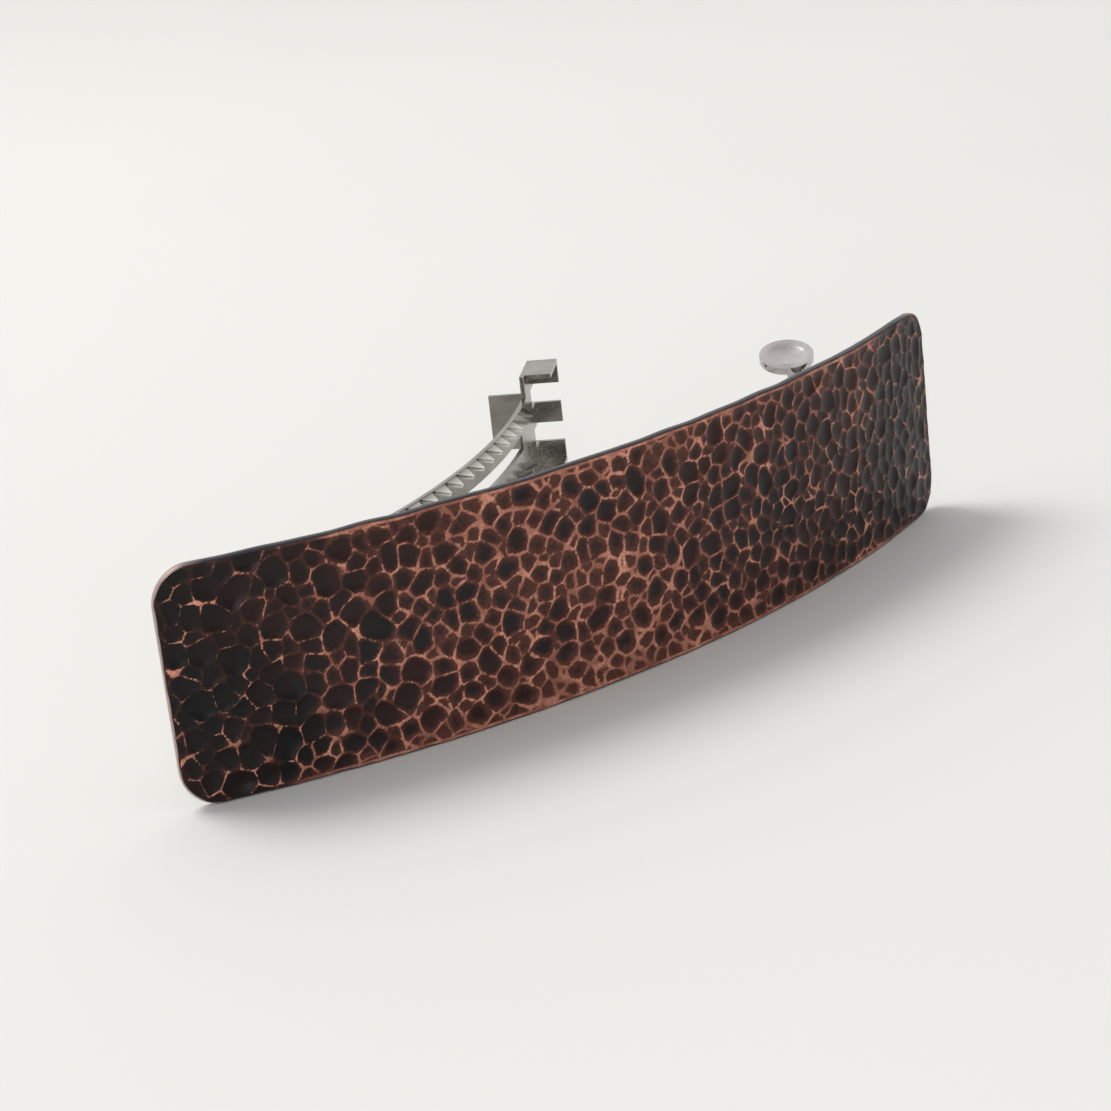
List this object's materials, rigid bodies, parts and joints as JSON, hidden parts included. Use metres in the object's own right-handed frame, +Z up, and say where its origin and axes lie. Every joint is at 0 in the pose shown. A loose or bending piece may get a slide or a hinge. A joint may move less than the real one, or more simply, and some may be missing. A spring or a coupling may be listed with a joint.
{
  "type": "barrette",
  "caption": "Curved hammered metal bar barrette on a spring clip: hinged slotted arm with toothed edges, bowed tension strip and a two-legged squeeze catch.",
  "frame": {"origin": "on the plate's lower long edge, at mid-length and mid-thickness", "axes": "+X along the bar, +Y to the back where the clip is, +Z up across the bar's height"},
  "size_m": [0.0868, 0.0435, 0.02],
  "materials": {
    "hammered_copper": "hammered, dark patina in the hollows, worn ridges",
    "plated_steel": "satin nickel plate",
    "spring_steel": "satin nickel plate",
    "clear_adhesive": "cured clear adhesive"
  },
  "bodies": {
    "base": {"face_plate": "hammered_copper", "bond_pad_left": "clear_adhesive", "bond_pad_right": "clear_adhesive", "base_bar": "plated_steel", "hinge_pin": "plated_steel", "catch_seat": "spring_steel", "catch_rivet": "plated_steel"},
    "arm": {"clasp_arm": "plated_steel"},
    "tension_strip": {"tension_bar": "spring_steel"},
    "leg_upper": {"catch_leg_upper": "spring_steel"},
    "leg_lower": {"catch_leg_lower": "spring_steel"}
  },
  "joints": [
    {"name": "arm_swing", "type": "hinge", "parent": "base", "child": "arm", "pos_m": [-0.03505, 0.01073, 0.01], "axis": [0, 0, 1], "range_deg": [-28.5, 50]},
    {"name": "strip_flex", "type": "hinge", "parent": "base", "child": "tension_strip", "pos_m": [-0.03505, 0.01073, 0.01], "axis": [0, 0, 1], "range_deg": [0, 1.5], "stiffness_Nm_per_rad": 0.5},
    {"name": "leg_upper_squeeze", "type": "hinge", "parent": "base", "child": "leg_upper", "pos_m": [0.03051, 0.00646, 0.0121], "axis": [-0.9613, -0.2756, 0], "range_deg": [0, 7], "stiffness_Nm_per_rad": 0.4},
    {"name": "leg_lower_squeeze", "type": "hinge", "parent": "base", "child": "leg_lower", "pos_m": [0.03051, 0.00646, 0.0079], "axis": [0.9613, 0.2756, 0], "range_deg": [0, 7], "stiffness_Nm_per_rad": 0.4}
  ]
}
